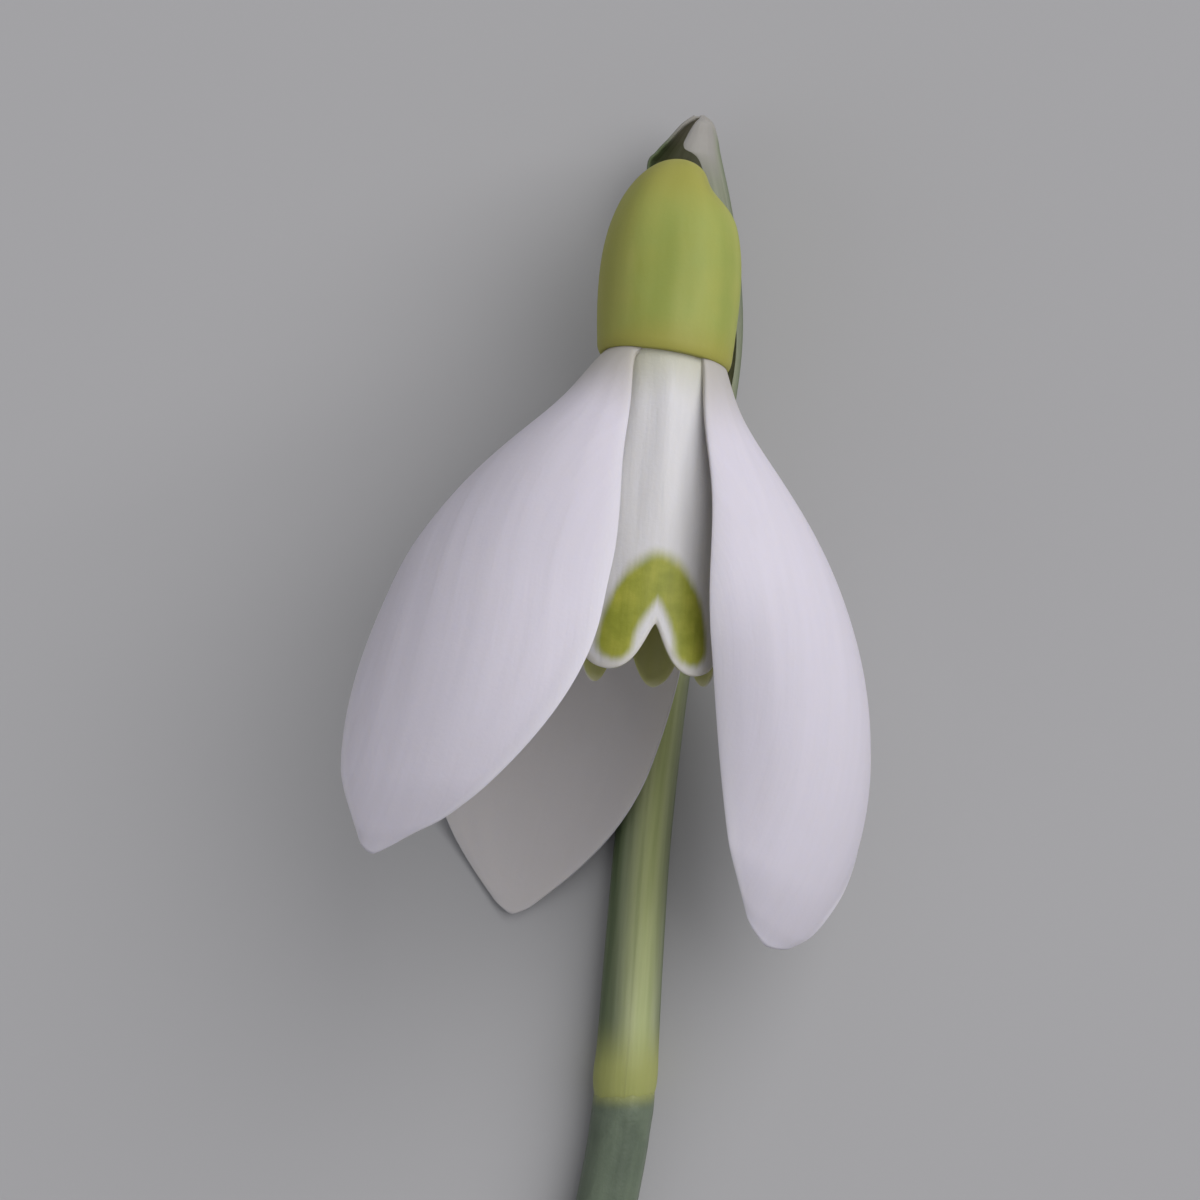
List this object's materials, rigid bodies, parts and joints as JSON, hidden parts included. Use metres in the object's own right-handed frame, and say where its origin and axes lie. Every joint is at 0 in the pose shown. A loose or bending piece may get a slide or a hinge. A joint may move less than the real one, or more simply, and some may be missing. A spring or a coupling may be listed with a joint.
{
  "type": "snowdrop flower",
  "caption": "Picked snowdrop flower lying on its back: white outer tepals spread round a notched green-marked cup, below a green ovary on a sheathed stalk.",
  "frame": {"origin": "middle of the flower's bounding box, on the surface that it lies on", "axes": "+Y along the flower from the cut end of the scape to the tip of the spathe, +Z up from the surface, +X to the right seen from above with +Y up"},
  "size_m": [0.0185, 0.0774, 0.0168],
  "materials": {
    "scape_green": "satin",
    "spathe_green": "satin",
    "pedicel_green": "satin",
    "ovary_green": "satin",
    "outer_tepal": "matte",
    "inner_tepal": "matte",
    "anther_orange": "matte",
    "style_green": "satin"
  },
  "bodies": {
    "root": {"scape": "scape_green", "spathe": "spathe_green", "pedicel": "pedicel_green", "ovary": "ovary_green", "outer_tepal_left": "outer_tepal", "outer_tepal_right": "outer_tepal", "outer_tepal_back": "outer_tepal", "inner_tepal_front": "inner_tepal", "inner_tepal_back_left": "inner_tepal", "inner_tepal_back_right": "inner_tepal", "stamen_1": "anther_orange", "stamen_2": "anther_orange", "stamen_3": "anther_orange", "stamen_4": "anther_orange", "stamen_5": "anther_orange", "stamen_6": "anther_orange", "style": "style_green"}
  },
  "joints": []
}
